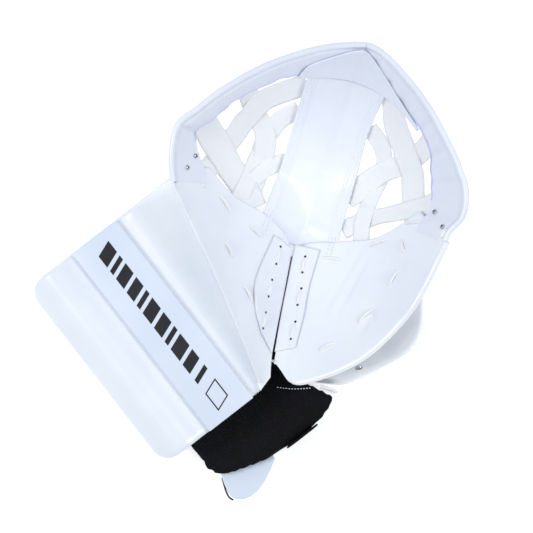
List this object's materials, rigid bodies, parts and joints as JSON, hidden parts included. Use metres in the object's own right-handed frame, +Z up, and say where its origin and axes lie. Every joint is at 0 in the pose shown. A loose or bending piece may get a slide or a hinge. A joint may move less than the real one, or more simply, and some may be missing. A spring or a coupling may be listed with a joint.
{
  "type": "goalie catch glove",
  "caption": "Ice hockey goalkeeper's catching glove for the left hand: a laced deep pocket with a webbed T and a one-piece cuff and thumb, hinged at the palm break.",
  "frame": {"origin": "on the floor, under the middle of the glove as it lies on its back", "axes": "+X from the wrist to the fingertips, +Y from the little finger to the thumb, +Z up out of the open pocket"},
  "size_m": [0.3906, 0.315, 0.1391],
  "materials": {
    "shell_leather": "gloss",
    "trim_leather": "satin",
    "back_leather": "satin",
    "t_panel_leather": "satin",
    "webbing": "satin",
    "foam": "matte",
    "stiffener": "satin",
    "black_fabric": "matte",
    "liner": "matte",
    "guard_plastic": "gloss",
    "nickel": "satin",
    "white_rivet": "gloss"
  },
  "bodies": {
    "hand_side": {"backhand_foam": "foam", "backhand_guard": "guard_plastic", "break_strip_palm": "trim_leather", "eyelet_palm_1": "nickel", "eyelet_palm_2": "nickel", "finger_stall_index": "liner", "finger_stall_little": "liner", "finger_stall_middle": "liner", "finger_stall_ring": "liner", "guard_rivet_1": "nickel", "guard_rivet_2": "nickel", "palm_foam": "foam", "palm_liner": "liner", "palm_shell": "shell_leather", "rim_palm_end": "shell_leather", "strap_base": "black_fabric", "wrist_pad": "black_fabric"},
    "thumb_side": {"break_strip_thumb": "trim_leather", "cuff_back_cover": "back_leather", "cuff_foam": "foam", "cuff_shell": "shell_leather", "cuff_stiffener": "stiffener", "cuff_strip": "trim_leather", "eyelet_thumb_1": "nickel", "eyelet_thumb_2": "nickel", "rim_thumb_end": "shell_leather", "rivet_thumb": "white_rivet", "thumb_back_pad": "back_leather", "thumb_face": "shell_leather", "thumb_foam": "foam", "thumb_stall": "liner"},
    "pocket": {"net_strap_palm_1": "webbing", "net_strap_palm_2": "webbing", "net_strap_palm_3": "webbing", "net_strap_palm_4": "webbing", "net_strap_thumb_1": "webbing", "net_strap_thumb_2": "webbing", "net_strap_thumb_3": "webbing", "net_strap_thumb_4": "webbing", "rim_finger_side": "shell_leather", "rim_thumb_side": "shell_leather", "t_flap": "shell_leather", "t_panel": "t_panel_leather"},
    "wrist_strap": {"wrist_strap": "black_fabric"},
    "wrist_tab": {"wrist_tab": "trim_leather"}
  },
  "joints": [
    {"name": "palm_break", "type": "hinge", "parent": "hand_side", "child": "thumb_side", "pos_m": [-0.0593, -0.0645, 0.06], "axis": [0.7169, 0.642, -0.2718], "range_deg": [0, 60]},
    {"name": "pocket_fold", "type": "hinge", "parent": "hand_side", "child": "pocket", "pos_m": [-0.0593, -0.0645, 0.06], "axis": [0.7169, 0.642, -0.2718], "range_deg": [0, 30], "deforming": ["net_strap_palm_1", "net_strap_palm_2", "net_strap_palm_3", "net_strap_palm_4", "net_strap_thumb_1", "net_strap_thumb_2", "net_strap_thumb_3", "net_strap_thumb_4", "rim_finger_side", "rim_thumb_side", "t_flap", "t_panel"]},
    {"name": "wrist_strap_peel", "type": "hinge", "parent": "hand_side", "child": "wrist_strap", "pos_m": [-0.0833, -0.142, 0.009], "axis": [1, 0, 0], "range_deg": [0, 80]},
    {"name": "wrist_tab_flex", "type": "hinge", "parent": "hand_side", "child": "wrist_tab", "pos_m": [-0.1403, -0.1225, 0.018], "axis": [1, 0, 0], "range_deg": [0, 22], "stiffness_Nm_per_rad": 0.06}
  ],
  "couplings": [
    {"joint": "pocket_fold", "follows": "palm_break", "ratio": 0.5}
  ]
}
